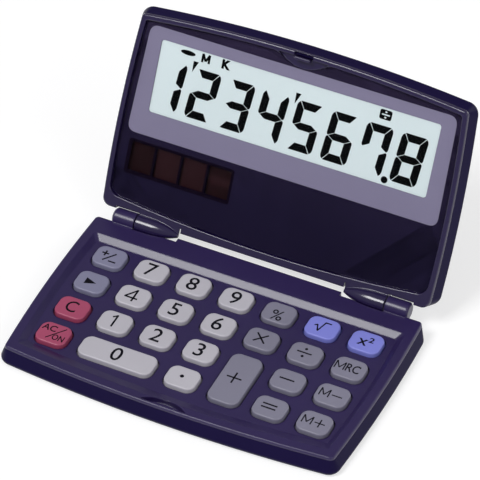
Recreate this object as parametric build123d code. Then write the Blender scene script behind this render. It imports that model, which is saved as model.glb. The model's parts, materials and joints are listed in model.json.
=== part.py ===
"""Folding pocket calculator: two thin leaves joined by a hinge with two barrels a side.

The lower leaf holds twenty-six moulded keys over a rubber mat and a key board. The upper leaf holds
an eight-digit liquid crystal display, a four-cell solar panel, a button cell and the main board.
A ribbon cable runs through the hollow left-hand barrel, and a steel pin carries the right-hand one.

Everything is in millimetres. X runs across the leaves, -Y points at the user, +Z is up. The origin is
on the underside of the lower leaf, midway across it and midway from its hinge edge to its front edge.
A leaf is drawn by distance from the hinge axis and by depth below its rim plane. The rim planes of
both leaves contain the hinge axis, so the rims meet when the calculator is shut.
"""

import os

from build123d import *

# Overall sizes
overall_width = 93.4
open_length = 113.3
lid_rest_angle = 63.0

# Leaf outline
side_flare = 1.4
side_bow = 0.85
side_spread = 1.1
front_bow = 2.3
belly_height = 1.6
belly_flat = 0.1
rim_round = 0.35
rim_corner_radius = 0.9
lid_hinge_corner_radius = 2.2
belly_corner_radius = 3.2
hinge_edge_gap = 1.9
lip_gap = 0.8
lip_end_gap = 0.4
lip_round = 0.5

# Casings
wall = 1.2
floor_thickness = 0.8
lid_floor_thickness = 0.7
rim_depth = 0.8
frame_fit = 0.1

# Hinge
barrel_radius = 2.35
barrel_inset = 5.85
outer_barrel_length = 6.15
seam_gap = 0.3
bullet_length = 11.4
bullet_shoulder = 3.0
bullet_tip_radius = 0.5
barrel_clearance = 0.35
barrel_end_wall = 0.9
barrel_end_chamfer = 0.5
hinge_pin_radius = 0.75
hinge_pin_reach = 6.2
running_clearance = 0.05
sleeve_wall = 0.35
sleeve_setback = 0.6
sleeve_slit = 0.4
spigot_radius = 1.6
spigot_bore = 1.2
spigot_length = 2.0

# Keypad
key_columns = 7
key_rows = 4
key_spacing_x = 3.22
key_spacing_y = 3.02
key_side_margin = 1.0
key_back_margin = 1.25
key_front_margin = 0.49
key_corner_radius = 2.3
key_edge_round = 0.4
key_top_inset = 0.12
key_gap = 0.3
key_flange_margin = 0.7
key_flange_thickness = 0.5
key_below_rim = 0.25
recess_depth = 1.3
panel_thickness = 0.85
deck_width = 5.6
recess_rim_width = 2.15
recess_corner_radius = 1.0
bevel_run_side = 1.3
bevel_run_front = 2.9
bevel_run_back = 1.6

# Key board, mat and screws
key_board_thickness = 0.9
board_margin = 5.0
mat_sheet_thickness = 0.3
dome_height = 0.6
dome_base_radius = 2.4
dome_top_radius = 1.6
screw_shank_radius = 0.85
screw_head_radius = 1.5
screw_head_height = 0.9
screw_slot_width = 0.4
screw_tip_clearance = 0.3
boss_wall = 0.8
back_screw_offset = 16.0
back_screw_clearance = 0.5
side_screw_inset = 3.9
front_screw_inset = 2.65

# Latch
hook_inset = 1.75
hook_half_width = 2.1
hook_thickness = 0.6
hook_height = 0.9
hook_barb = 0.25
hook_play = 0.3
slot_half_width = 2.5
slot_length = 1.15
bowl_radius = 9.0
bowl_depth = 3.0
bowl_blend = 4.0
bowl_floor = 1.0
catch_half_width = 6.2
catch_depth = 1.7

# Display leaf
lid_rim_width = 1.1
plate_recess = 0.6
plate_thickness = 0.7
plate_gap = 0.1
plate_hinge_distance = 2.7
plate_hinge_bow = 2.6
plate_corner_radius = 3.0
mask_thickness = 0.1
frame_floor = 0.7
window_side_margin = 4.9
window_top_margin = 4.0
window_corner_radius = 0.8
glass_margin = 0.9
glass_fit = 0.3
glass_thickness = 0.45
glass_ledge = 2.2
polariser_thickness = 0.15
reflector_thickness = 0.2
solar_side_margin = 1.8
solar_width = 28.8
solar_near = 12.1
solar_height = 8.5
solar_window_gap = 8.15
solar_cell_count = 4
solar_cell_gap = 0.45
solar_margin = 0.9
solar_glass_thickness = 0.9
solar_cell_thickness = 0.15

# Main board, button cell and screws of the display leaf
main_board_thickness = 0.6
main_board_near = 6.0
board_side_gap = 1.4
board_solar_gap = 1.9
board_post_radius = 1.0
board_post_inset = 3.5
chip_radius = 4.0
chip_height = 0.7
chip_inset = 12.5
chip_distance = 16.0
cell_radius = 5.8
cell_thickness = 2.05
cell_slack = 0.3
cell_inset = 13.5
cell_distance = 15.0
cell_pocket_gap = 0.6
contact_thickness = 0.15
contact_width = 3.0
lead_radius = 0.3
low_screw_offset = 20.0
low_screw_distance = 7.4
top_screw_offset = 24.0
top_screw_gap = 0.4

# Ribbon cable
ribbon_thickness = 0.12
ribbon_tube_radius = 1.05
ribbon_width = 2.3
ribbon_slot_clearance = 0.15

# Heights in the display leaf, below its rim plane. The button cell sets how thick a leaf has to be.
plate_bottom = -plate_recess - plate_thickness
mask_bottom = plate_bottom - mask_thickness
frame_bottom = mask_bottom - frame_floor
cell_top = frame_bottom - running_clearance - contact_thickness
cell_bottom = cell_top - cell_thickness
contact_bottom = cell_bottom - contact_thickness
cavity_floor = contact_bottom - cell_slack
leaf_thickness = lid_floor_thickness - cavity_floor
glass_top = mask_bottom - running_clearance - polariser_thickness
rear_glass_top = glass_top - glass_thickness
reflector_top = rear_glass_top - glass_thickness
glass_bottom = reflector_top - reflector_thickness
main_board_top = reflector_top
main_board_bottom = main_board_top - main_board_thickness

# Heights in the keypad leaf, above its underside
panel_top = leaf_thickness - recess_depth
panel_bottom = panel_top - panel_thickness
flange_top = panel_bottom - running_clearance
flange_bottom = flange_top - key_flange_thickness
key_top = leaf_thickness - key_below_rim
mat_top = flange_bottom - dome_height
board_top = mat_top - mat_sheet_thickness
board_height = board_top - key_board_thickness

# Outline and hinge
bottom_round = belly_height - belly_flat
rim_reach = open_length / 2 - side_flare
rim_half_width = overall_width / 2 - side_flare
corner_half_width = rim_half_width - side_bow - side_spread / 2
corner_reach = rim_reach - front_bow
spread_rate = side_spread / (corner_reach - hinge_edge_gap)
hinge_y = (rim_reach - hinge_edge_gap) / 2 + hinge_edge_gap
hinge_z = leaf_thickness
outer_end = overall_width / 2 - barrel_inset
seam_position = outer_end - outer_barrel_length
inner_seam = seam_position - seam_gap
bullet_tip = inner_seam - bullet_length
lip_half_length = bullet_tip - lip_end_gap
barrel_bore_end = outer_end - barrel_end_wall
web_reach = hinge_edge_gap + wall + frame_fit
lid_pose = Location((0, hinge_y, hinge_z), (lid_rest_angle, 0, 0))

# Keypad, by distance from the hinge axis
panel_half_width = corner_half_width - recess_rim_width - bevel_run_side
panel_near = hinge_edge_gap + deck_width + bevel_run_back
panel_far = corner_reach - recess_rim_width - bevel_run_front
keys_near = panel_near + key_back_margin
keys_far = panel_far - key_front_margin
key_pitch_x = (2 * (panel_half_width - key_side_margin) + key_spacing_x) / key_columns
key_pitch_y = (keys_far - keys_near + key_spacing_y) / key_rows
key_width = key_pitch_x - key_spacing_x
key_depth = key_pitch_y - key_spacing_y
board_half_width = panel_half_width - key_side_margin + key_flange_margin
board_near = keys_near - key_flange_margin
board_far = keys_far
boss_radius = screw_shank_radius + boss_wall
screw_tube_radius = screw_head_radius + boss_wall
back_screw_distance = hinge_edge_gap + wall + screw_tube_radius + back_screw_clearance
base_screw_length = panel_top - screw_tip_clearance - screw_head_height
base_screw_places = [
    (side * x, distance)
    for side in (-1, 1)
    for x, distance in (
        (back_screw_offset, back_screw_distance),
        (corner_half_width - side_screw_inset, corner_reach - front_screw_inset),
    )
]

# Display leaf, by distance from the hinge axis
hook_distance = rim_reach - hook_inset
plate_half_width = corner_half_width - lid_rim_width
plate_far = corner_reach - lid_rim_width
window_half_width = plate_half_width - window_side_margin
window_near = solar_near + solar_height + solar_window_gap
window_far = plate_far - window_top_margin
rear_glass_near = window_near - glass_margin
front_glass_near = rear_glass_near - glass_ledge
glass_opening_far = window_far + glass_margin + glass_fit
solar_left = solar_side_margin - plate_half_width
solar_right = solar_left + solar_width
main_board_left = solar_right + solar_margin + board_solar_gap
main_board_right = corner_half_width - wall - board_side_gap
main_board_far = rear_glass_near - glass_fit
chip_place = (main_board_left + chip_inset, chip_distance)
cell_place = (main_board_right - cell_inset, cell_distance)
board_post_far = front_glass_near - glass_fit - board_post_radius
board_post_places = [
    (main_board_left + board_post_inset, solar_near),
    (main_board_left + board_post_inset, board_post_far),
    (main_board_right - board_post_inset, board_post_far),
]
lid_screw_length = mask_bottom - screw_head_height - cavity_floor - screw_tip_clearance
lid_screw_places = [
    (side * x, distance)
    for side in (-1, 1)
    for x, distance in (
        (low_screw_offset, low_screw_distance),
        (top_screw_offset, glass_opening_far + screw_head_radius + top_screw_gap),
    )
]

# Key name, column, row, columns wide, rows deep. Row 0 is next to the hinge.
key_plan = [
    ("sign_change", 0, 0, 1, 1),
    ("backspace", 0, 1, 1, 1),
    ("clear", 0, 2, 1, 1),
    ("all_clear_on", 0, 3, 1, 1),
    ("7", 1, 0, 1, 1),
    ("8", 2, 0, 1, 1),
    ("9", 3, 0, 1, 1),
    ("4", 1, 1, 1, 1),
    ("5", 2, 1, 1, 1),
    ("6", 3, 1, 1, 1),
    ("1", 1, 2, 1, 1),
    ("2", 2, 2, 1, 1),
    ("3", 3, 2, 1, 1),
    ("0", 1, 3, 2, 1),
    ("decimal_point", 3, 3, 1, 1),
    ("percent", 4, 0, 1, 1),
    ("multiply", 4, 1, 1, 1),
    ("plus", 4, 2, 1, 2),
    ("square_root", 5, 0, 1, 1),
    ("divide", 5, 1, 1, 1),
    ("minus", 5, 2, 1, 1),
    ("equals", 5, 3, 1, 1),
    ("square", 6, 0, 1, 1),
    ("memory_recall", 6, 1, 1, 1),
    ("memory_minus", 6, 2, 1, 1),
    ("memory_plus", 6, 3, 1, 1),
]


def block(x0, x1, y0, y1, z0, z1):
    """A box between two corners."""
    return Pos((x0 + x1) / 2, (y0 + y1) / 2, (z0 + z1) / 2) * Box(x1 - x0, y1 - y0, z1 - z0)


def rod(radius, x0, x1, y=0.0, z=0.0):
    """A cylinder along X from x0 to x1."""
    return Pos((x0 + x1) / 2, y, z) * Rot(0, 90, 0) * Cylinder(radius, abs(x1 - x0))


def post(radius, x, y, z0, z1):
    """A cylinder along Z from z0 to z1."""
    return Pos(x, y, (z0 + z1) / 2) * Cylinder(radius, z1 - z0)


def bowed_outline(half_width, near, far, bows, corner_radii):
    """A flat four-sided face with bowed edges, drawn by distance from the hinge axis along +Y.

    The half width is that of the far corners, and the sides spread towards the hinge. bows are the
    outward bows of the near, side and far edges. corner_radii are those of the near and far corners.
    """
    near_bow, bow, far_bow = bows
    middle = (near + far) / 2
    near_half_width = half_width + spread_rate * (far - near)
    middle_half_width = (half_width + near_half_width) / 2 + bow
    near_left, near_right = (-near_half_width, near), (near_half_width, near)
    far_left, far_right = (-half_width, far), (half_width, far)
    if near_bow:
        near_edge = ThreePointArc(near_left, (0, near - near_bow), near_right)
    else:
        near_edge = Line(near_left, near_right)
    edges = [
        near_edge,
        ThreePointArc(near_right, (middle_half_width, middle), far_right),
        ThreePointArc(far_right, (0, far + far_bow), far_left),
        ThreePointArc(far_left, (-middle_half_width, middle), near_left),
    ]
    face = make_face(edges)
    corners = face.vertices().sort_by(Axis.Y)
    face = fillet(corners[:2], corner_radii[0])
    far_corners = [v for v in face.vertices() if abs(v.Y - far) < 1e-3 and abs(abs(v.X) - half_width) < 1e-3]
    return fillet(far_corners, corner_radii[1])


def leaf_face(depth, inset, flare, near_radius, far_radius):
    """The outline of a leaf at a depth below the rim plane, moved inwards by inset."""
    half_width = corner_half_width + flare - inset
    far = corner_reach + flare - inset
    face = bowed_outline(
        half_width,
        hinge_edge_gap + inset,
        far,
        (0.0, side_bow, front_bow),
        (max(near_radius - inset, 0.4), max(far_radius - inset, 0.4)),
    )
    return Pos(0, 0, -depth) * face


def leaf_block(inset, depth, hinge_corner_radius):
    """The outer form of a leaf, or its hollow when inset is a wall thickness."""
    belly_depth = leaf_thickness - belly_height
    belly = leaf_face(belly_depth, inset, side_flare, belly_corner_radius, belly_corner_radius)
    rim = leaf_face(0, inset, 0.0, hinge_corner_radius, rim_corner_radius)
    upper = loft([rim, belly], ruled=True)
    lower = extrude(belly, amount=depth - belly_depth, dir=(0, 0, -1))
    if not inset:
        upper = fillet(upper.faces().sort_by(Axis.Z)[-1].edges(), rim_round)
        lower = fillet(lower.faces().sort_by(Axis.Z)[0].edges(), bottom_round)
    return upper + lower


def leaf_form(hinge_corner_radius):
    """A whole closed leaf with the lip that stands between the barrels."""
    lip = block(-lip_half_length, lip_half_length, lip_gap, hinge_edge_gap + bottom_round + frame_fit,
                -leaf_thickness, 0)
    lower_edge = lip.edges().filter_by(Axis.X).group_by(Axis.Y)[0].sort_by(Axis.Z)[0]
    return leaf_block(0, leaf_thickness, hinge_corner_radius) + fillet(lower_edge, lip_round)


def bullet_profile(grow):
    """Half section of the tapered inner barrel on the XY plane, grown by a clearance."""
    shoulder = inner_seam - bullet_shoulder
    radius = barrel_radius + grow
    tip = bullet_tip_radius + grow
    middle_x = bullet_tip + (shoulder - bullet_tip) * 0.45
    middle_radius = tip + (radius - tip) * 0.72
    start = inner_seam + (seam_gap if grow else 0)
    end = bullet_tip - grow
    return make_face([
        Line((start, 0), (start, radius)),
        Line((start, radius), (shoulder, radius)),
        ThreePointArc((shoulder, radius), (middle_x, middle_radius), (end, tip)),
        Line((end, tip), (end, 0)),
        Line((end, 0), (start, 0)),
    ])


def both_sides(shape):
    """A shape and its mirror image across the middle of the calculator."""
    return shape + mirror(shape, about=Plane.YZ)


def inner_barrel():
    """The right-hand tapered barrel of the lid with the web that roots it in the lid frame."""
    return revolve(bullet_profile(0), axis=Axis.X) + inner_web(0)


def outer_barrel():
    """The right-hand barrel of the lower leaf."""
    barrel = rod(barrel_radius, seam_position, outer_end)
    return chamfer(barrel.edges().group_by(Axis.X)[-1], barrel_end_chamfer)


def outer_web(grow):
    """The web that roots an outer barrel in the key frame, grown by a fit."""
    return block(seam_position - grow, outer_end - barrel_end_chamfer + grow, 0, web_reach + grow,
                 -barrel_radius - grow, 0)


def inner_web(grow):
    """The web that roots a tapered barrel in the lid frame, grown by a fit."""
    section = Rot(-90, 0, 0) * bullet_profile(grow)
    return extrude(section, amount=web_reach + grow, dir=(0, 1, 0))


def inner_barrel_room():
    """The space that both tapered barrels turn in."""
    return both_sides(revolve(bullet_profile(barrel_clearance), axis=Axis.X))


def outer_barrel_room():
    """The space that both outer barrels turn in."""
    return both_sides(rod(barrel_radius + barrel_clearance, inner_seam, outer_end + barrel_clearance))


def on_base(shape):
    """Moves a shape drawn about the hinge axis, with its leaf along +Y, onto the lower leaf."""
    return Pos(0, hinge_y, hinge_z) * mirror(shape, about=Plane.XZ)


def base_y(distance):
    """The Y of a point on the lower leaf at a distance from the hinge axis."""
    return hinge_y - distance


# Lower leaf


def key_centre(column, row, columns, rows):
    """The centre of a key, from its first column and row and the cells that it spans."""
    x = (column + (columns - 1) / 2 - (key_columns - 1) / 2) * key_pitch_x
    distance = keys_near + key_depth / 2 + (row + (rows - 1) / 2) * key_pitch_y
    return x, base_y(distance)


def key_size(columns, rows, margin):
    """A key's width and depth, grown by margin on every side."""
    width = key_width + (columns - 1) * key_pitch_x + 2 * margin
    depth = key_depth + (rows - 1) * key_pitch_y + 2 * margin
    return width, depth


def key_face(columns, rows, margin):
    """A key's outline, grown by margin."""
    return RectangleRounded(*key_size(columns, rows, margin), key_corner_radius + margin)


def make_key(column, row, columns, rows):
    """One hard key: a drafted cap with a rounded top edge, on the flange that holds it in."""
    x, y = key_centre(column, row, columns, rows)
    crown = Pos(0, 0, key_top - flange_top) * key_face(columns, rows, -key_top_inset)
    cap = loft([key_face(columns, rows, 0), crown], ruled=True)
    cap = fillet(cap.faces().sort_by(Axis.Z)[-1].edges(), key_edge_round)
    flange = extrude(Rectangle(*key_size(columns, rows, key_flange_margin)), amount=key_flange_thickness)
    return Pos(x, y, flange_top) * cap + Pos(x, y, flange_bottom) * flange


def recess_cut():
    """The bevelled recess that the keys stand in."""
    half_width = corner_half_width - recess_rim_width
    near = hinge_edge_gap + deck_width
    far = corner_reach - recess_rim_width
    bows = (0.0, side_bow, front_bow)
    radii = (recess_corner_radius, recess_corner_radius)
    top = bowed_outline(half_width, near, far, bows, radii)
    bottom = bowed_outline(panel_half_width, panel_near, panel_far, bows, radii)
    bevel = loft([top, Pos(0, 0, -recess_depth) * bottom], ruled=True)
    return on_base(bevel)


def catch_cut():
    """The bow-shaped pocket in the front rim that takes the lid's hook, with a ledge over its barb."""
    far = hook_distance + hook_thickness + hook_barb + hook_play
    near = hook_distance - hook_play
    bow = make_face([
        ThreePointArc((-catch_half_width, far), (0, near - hook_thickness), (catch_half_width, far)),
        Line((catch_half_width, far), (-catch_half_width, far)),
    ])
    ledge_height = hook_height - hook_barb
    pocket = extrude(bow, amount=catch_depth, dir=(0, 0, -1))
    ledge = block(-slot_half_width, slot_half_width, far - hook_barb, far, -ledge_height, 0)
    return on_base(pocket - ledge)


def make_base_frame():
    """The upper casing of the lower leaf: deck, key panel, outer barrels and screw bosses."""
    form = leaf_form(rim_corner_radius)
    size = open_length
    rim = form & block(-size, size, -size, size, -rim_depth, 0)
    depth = leaf_thickness - panel_bottom
    core = leaf_block(wall + frame_fit, leaf_thickness, rim_corner_radius)
    core = core & block(-size, size, -size, size, -depth, 0)
    frame = on_base(rim + core)
    frame -= recess_cut()
    frame -= catch_cut()
    for name, column, row, columns, rows in key_plan:
        x, y = key_centre(column, row, columns, rows)
        hole = extrude(key_face(columns, rows, key_gap), amount=panel_thickness + 2 * frame_fit)
        frame -= Pos(x, y, panel_bottom - frame_fit) * hole
    frame -= Pos(0, hinge_y, hinge_z) * inner_barrel_room()
    frame += on_base(both_sides(outer_barrel() + outer_web(0)))
    for x, distance in base_screw_places:
        y = base_y(distance)
        frame += post(boss_radius, x, y, mat_top, panel_bottom + frame_fit)
        frame -= post(screw_shank_radius, x, y, mat_top, screw_head_height + base_screw_length)
    hinge_bores = rod(hinge_pin_radius, seam_position, barrel_bore_end)
    hinge_bores += rod(spigot_radius + running_clearance, -barrel_bore_end, -seam_position)
    frame -= Pos(0, hinge_y, hinge_z) * hinge_bores
    return frame - base_ribbon_slot()


def make_base_cover():
    """The lower casing: a tub with its screw tubes and the ribs that carry the key board."""
    form = leaf_form(rim_corner_radius)
    size = open_length
    tub = form & block(-size, size, -size, size, -leaf_thickness, -rim_depth)
    hollow = leaf_block(wall, leaf_thickness - floor_thickness, rim_corner_radius)
    tub = on_base(tub - hollow)
    tub -= Pos(0, hinge_y, hinge_z) * (inner_barrel_room() + outer_barrel_room())
    tub -= on_base(both_sides(outer_web(frame_fit)))
    rib_end = board_half_width - board_margin
    for distance in (board_near + board_margin, (board_near + board_far) / 2, board_far - board_margin):
        y = base_y(distance)
        tub += block(-rib_end, rib_end, y - wall / 2, y + wall / 2, floor_thickness, board_height)
    for x, distance in base_screw_places:
        y = base_y(distance)
        tub += post(screw_tube_radius, x, y, 0.0, mat_top)
        tub -= post(screw_head_radius + frame_fit, x, y, 0.0, screw_head_height)
        tub -= post(screw_shank_radius + frame_fit, x, y, 0.0, mat_top)
    return tub


def make_screw(x, y, z, length, down):
    """A slotted screw whose head starts at z, turned over when its tip points down."""
    head = post(screw_head_radius, 0, 0, 0, screw_head_height)
    head -= block(-screw_head_radius, screw_head_radius, -screw_slot_width / 2, screw_slot_width / 2,
                  0, screw_head_height / 2)
    screw = head + post(screw_shank_radius, 0, 0, screw_head_height, screw_head_height + length)
    if down:
        screw = Rot(180, 0, 0) * screw
    return Pos(x, y, z) * screw


def make_base_screws():
    return [make_screw(x, base_y(d), 0.0, base_screw_length, False) for x, d in base_screw_places]


def make_key_board():
    """The printed board under the keys, with the tongue that the ribbon cable is soldered to."""
    board = block(-board_half_width, board_half_width, base_y(board_far), base_y(board_near),
                  board_height, board_top)
    tongue = block(-barrel_bore_end, -seam_position + wall, base_y(board_near),
                   base_y(hinge_edge_gap + 2 * wall), board_height, board_top)
    return board + tongue


def make_key_mat():
    """The rubber sheet with one dome under each key."""
    mat = block(-board_half_width, board_half_width, base_y(board_far), base_y(board_near),
                board_top, mat_top)
    for name, column, row, columns, rows in key_plan:
        x, y = key_centre(column, row, columns, rows)
        mat += Pos(x, y, mat_top + dome_height / 2) * Cone(dome_base_radius, dome_top_radius, dome_height)
    return mat


def ribbon_tail(start, reach, drop, width_from, width_to):
    """A ribbon that leaves the hinge along +Y from start, turns down by drop and runs on to reach."""
    level = -ribbon_tube_radius + ribbon_thickness
    turn = hinge_edge_gap + 1.5 * wall
    t = ribbon_thickness
    width = width_to - width_from
    x = (width_from + width_to) / 2
    top = Pos(x, (start + turn) / 2, level - t / 2) * Box(width, turn - start, t)
    fall = Pos(x, turn - t / 2, (level + drop) / 2) * Box(width, t, level - drop)
    foot = Pos(x, (turn + reach) / 2 - t / 2, drop + t / 2) * Box(width, reach - turn + t, t)
    return top + fall + foot


def ribbon_slot(depth, width_from, width_to):
    """The opening that a ribbon tail passes through."""
    gap = ribbon_slot_clearance
    level = -ribbon_tube_radius + ribbon_thickness
    turn = hinge_edge_gap + 1.5 * wall
    left, right = width_from - gap, width_to + gap
    passage = block(left, right, 0, turn + gap, level - ribbon_thickness - gap, level + gap)
    shaft = block(left, right, turn - ribbon_thickness - gap, turn + gap, depth, level + gap)
    return passage + shaft


def base_ribbon_span():
    """Where the ribbon leaves the left-hand outer barrel, beyond the lid's spigot."""
    start = -barrel_bore_end + frame_fit
    return start, start + ribbon_width


def lid_ribbon_span():
    """Where the ribbon leaves the left-hand tapered barrel."""
    start = -inner_seam + wall
    return start, start + ribbon_width


def base_ribbon_slot():
    low, high = base_ribbon_span()
    return on_base(ribbon_slot(panel_bottom - leaf_thickness - frame_fit, low, high))


def make_base_ribbon():
    """The part of the ribbon cable that is rolled inside the barrels and soldered to the key board."""
    low, high = base_ribbon_span()
    inner = ribbon_tube_radius - ribbon_thickness
    roll_end = -inner_seam + wall + ribbon_width
    roll = rod(ribbon_tube_radius, low, roll_end) - rod(inner, low, roll_end)
    tail = on_base(ribbon_tail(0, board_near - glass_fit, board_top - leaf_thickness, low, high))
    return Pos(0, hinge_y, hinge_z) * roll + tail


def make_hinge_pin():
    """The steel pin of the right-hand hinge, pressed into the outer barrel."""
    pin = rod(hinge_pin_radius, inner_seam - hinge_pin_reach, barrel_bore_end)
    return Pos(0, hinge_y, hinge_z) * pin


# Display leaf, drawn flat about the hinge axis and then turned to its rest angle


def plate_face(inset):
    """The outline of the window plate's seat, with the bell-shaped notch for the latch bowl."""
    half_width = plate_half_width - inset
    far = plate_far - inset
    near = plate_hinge_distance + plate_hinge_bow + inset
    radius = plate_corner_radius - inset
    face = bowed_outline(half_width, near, far, (plate_hinge_bow, side_bow, front_bow),
                         (radius, rim_corner_radius))
    crest = far + front_bow
    bowl = Pos(0, crest - bowl_depth + inset + bowl_radius) * Circle(bowl_radius + 2 * inset)
    face = face - bowl
    notch = [v for v in face.vertices() if abs(v.X) < bowl_radius and v.Y > crest - bowl_depth]
    return fillet(notch, bowl_blend)


def framed_face(left, right, near, far, radius):
    """A rectangle with rounded corners, given by its edges."""
    face = RectangleRounded(right - left, far - near, radius)
    return Pos((left + right) / 2, (near + far) / 2) * face


def window_face(margin):
    """The display window, grown by margin."""
    return framed_face(-window_half_width - margin, window_half_width + margin, window_near - margin,
                       window_far + margin, window_corner_radius)


def glass_opening():
    """The opening behind the window that the display glass lies in."""
    half_width = window_half_width + glass_margin + glass_fit
    return framed_face(-half_width, half_width, front_glass_near - glass_fit, glass_opening_far,
                       window_corner_radius)


def solar_face(margin):
    """The solar window, grown by margin."""
    return framed_face(solar_left - margin, solar_right + margin, solar_near - margin,
                       solar_near + solar_height + margin, window_corner_radius / 2)


def slab(face, top, bottom):
    """A flat face made into a plate between two heights."""
    return extrude(Pos(0, 0, bottom) * face, amount=top - bottom)


def latch_hook():
    """The fixed hook that stands in the latch bowl, with its barb towards the front edge."""
    stem = block(-hook_half_width, hook_half_width, hook_distance, hook_distance + hook_thickness,
                 -bowl_floor, hook_height)
    near = hook_distance + hook_thickness
    barb = Plane.YZ * make_face(Polyline(
        (near, hook_height - hook_barb * 2),
        (near + hook_barb, hook_height - hook_barb),
        (near, hook_height),
        close=True,
    ))
    return stem + extrude(barb, amount=hook_half_width, both=True)


def make_lid_frame():
    """The inner casing of the display leaf: rim, plate seat, openings, tapered barrels and hook."""
    size = open_length
    form = leaf_form(lid_hinge_corner_radius)
    rim = form & block(-size, size, -size, size, -rim_depth, 0)
    core = leaf_block(wall + frame_fit, leaf_thickness, lid_hinge_corner_radius)
    core = core & block(-size, size, -size, size, frame_bottom, 0)
    frame = rim + core
    frame -= slab(plate_face(0), 0, mask_bottom)
    crest = rim_reach - lid_rim_width
    bowl_top = block(-bowl_radius, bowl_radius, crest - bowl_depth, crest, -bowl_floor, 0)
    frame -= bowl_top & slab(Pos(0, crest - bowl_depth + bowl_radius) * Circle(bowl_radius), 0, -bowl_floor)
    slot_near = hook_distance + hook_thickness
    frame -= block(-slot_half_width, slot_half_width, slot_near, slot_near + slot_length, frame_bottom, 0)
    frame += latch_hook()
    frame -= slab(glass_opening(), 0, frame_bottom)
    frame -= slab(solar_face(solar_margin + glass_fit), 0, frame_bottom)
    frame -= outer_barrel_room()
    frame += both_sides(inner_barrel())
    for x, v in lid_screw_places:
        frame += post(boss_radius, x, v, main_board_bottom, frame_bottom)
        frame -= post(screw_shank_radius + frame_fit, x, v, main_board_bottom, mask_bottom)
        frame -= post(screw_head_radius + frame_fit, x, v, mask_bottom - screw_head_height, mask_bottom)
    sleeve_radius = hinge_pin_radius + running_clearance + sleeve_wall
    frame -= rod(sleeve_radius, inner_seam - hinge_pin_reach - frame_fit, inner_seam)
    frame += rod(spigot_radius, -inner_seam - spigot_length, -inner_seam)
    low, high = lid_ribbon_span()
    frame -= rod(spigot_bore, -inner_seam - spigot_length, high + frame_fit)
    return frame - ribbon_slot(main_board_top - frame_fit, low, high)


def make_lid_cover():
    """The outer casing of the display leaf: a tub with ribs that press the display forward."""
    size = open_length
    form = leaf_form(lid_hinge_corner_radius)
    tub = form & block(-size, size, -size, size, -leaf_thickness, -rim_depth)
    tub -= leaf_block(wall, -cavity_floor, lid_hinge_corner_radius)
    tub -= slab(plate_face(0), 0, mask_bottom)
    tub -= inner_barrel_room() + outer_barrel_room()
    tub -= both_sides(inner_web(frame_fit))
    for x, v in board_post_places:
        tub += post(board_post_radius, x, v, cavity_floor, main_board_bottom)
    tub += post(cell_radius / 2, *cell_place, cavity_floor, contact_bottom)
    for distance in (window_near + glass_margin, window_far - glass_margin):
        tub += block(-window_half_width, window_half_width, distance - wall / 2, distance + wall / 2,
                     cavity_floor, glass_bottom)
    for x, v in lid_screw_places:
        tub += post(boss_radius, x, v, cavity_floor, main_board_bottom)
        tub -= post(screw_shank_radius, x, v, cavity_floor, main_board_bottom)
    return tub


def make_window_plate():
    """The clear plate over the whole display leaf."""
    return slab(plate_face(plate_gap), -plate_recess, plate_bottom)


def make_window_mask():
    """The printed film behind the plate, open over the display and the solar panel."""
    film = plate_face(plate_gap) - window_face(0) - solar_face(0)
    return slab(film, plate_bottom, mask_bottom)


def glass_sheet(near, top, thickness):
    """One sheet of the display, from a near edge to the common far edge."""
    half_width = window_half_width + glass_margin
    return block(-half_width, half_width, near, window_far + glass_margin, top - thickness, top)


def make_polariser():
    return glass_sheet(rear_glass_near, glass_top + polariser_thickness, polariser_thickness)


def make_front_glass():
    return glass_sheet(front_glass_near, glass_top, glass_thickness)


def make_rear_glass():
    return glass_sheet(rear_glass_near, rear_glass_top, glass_thickness)


def make_reflector():
    return glass_sheet(rear_glass_near, reflector_top, reflector_thickness)


def make_connector_strip():
    """The rubber strip that joins the display's lower ledge to the main board."""
    near = front_glass_near + glass_fit
    return block(-window_half_width, window_half_width, near, rear_glass_near - glass_fit,
                 main_board_top, rear_glass_top)


def make_main_board():
    """The board beside the solar panel and under the display's lower edge."""
    near_edge = front_glass_near - glass_fit
    board = block(main_board_left, main_board_right, main_board_near, main_board_far,
                  main_board_bottom, main_board_top)
    board += block(-window_half_width, window_half_width, near_edge, main_board_far,
                   main_board_bottom, main_board_top)
    tongue_left, tongue_right = lid_ribbon_span()
    board += block(tongue_left - wall, main_board_left, main_board_near, solar_near - solar_margin - wall,
                   main_board_bottom, main_board_top)
    board -= post(cell_radius + cell_pocket_gap, *cell_place, main_board_bottom, main_board_top)
    for x, v in lid_screw_places:
        board -= post(boss_radius + frame_fit, x, v, main_board_bottom, main_board_top)
    return board


def make_controller_chip():
    """The resin-covered controller on the back of the main board."""
    centre = Pos(*chip_place, main_board_bottom - chip_height / 2)
    return centre * Cone(chip_radius * 0.7, chip_radius, chip_height)


def make_solar_glass():
    top = mask_bottom - running_clearance
    return slab(solar_face(solar_margin), top, top - solar_glass_thickness)


def make_solar_cells():
    """Four dark cells behind the solar glass."""
    top = mask_bottom - running_clearance - solar_glass_thickness
    pitch = (solar_width + solar_cell_gap) / solar_cell_count
    cells = []
    for index in range(solar_cell_count):
        left = solar_left + index * pitch
        cells.append(block(left, left + pitch - solar_cell_gap, solar_near, solar_near + solar_height,
                           top - solar_cell_thickness, top))
    return cells


def make_button_cell():
    """The button cell, can and cap in one."""
    shoulder = cell_bottom + cell_thickness * 0.8
    can = post(cell_radius, *cell_place, cell_bottom, shoulder)
    return can + post(cell_radius * 0.86, *cell_place, shoulder, cell_top)


def make_positive_contact():
    """The strip under the cell, bent up to the main board."""
    x, v = cell_place
    end = v + cell_radius + cell_pocket_gap + contact_width
    left, right = x - contact_width / 2, x + contact_width / 2
    strip = block(left, right, v, end, contact_bottom, cell_bottom)
    rise = block(left, right, end - contact_thickness, end, contact_bottom, main_board_bottom)
    return strip + rise


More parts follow.
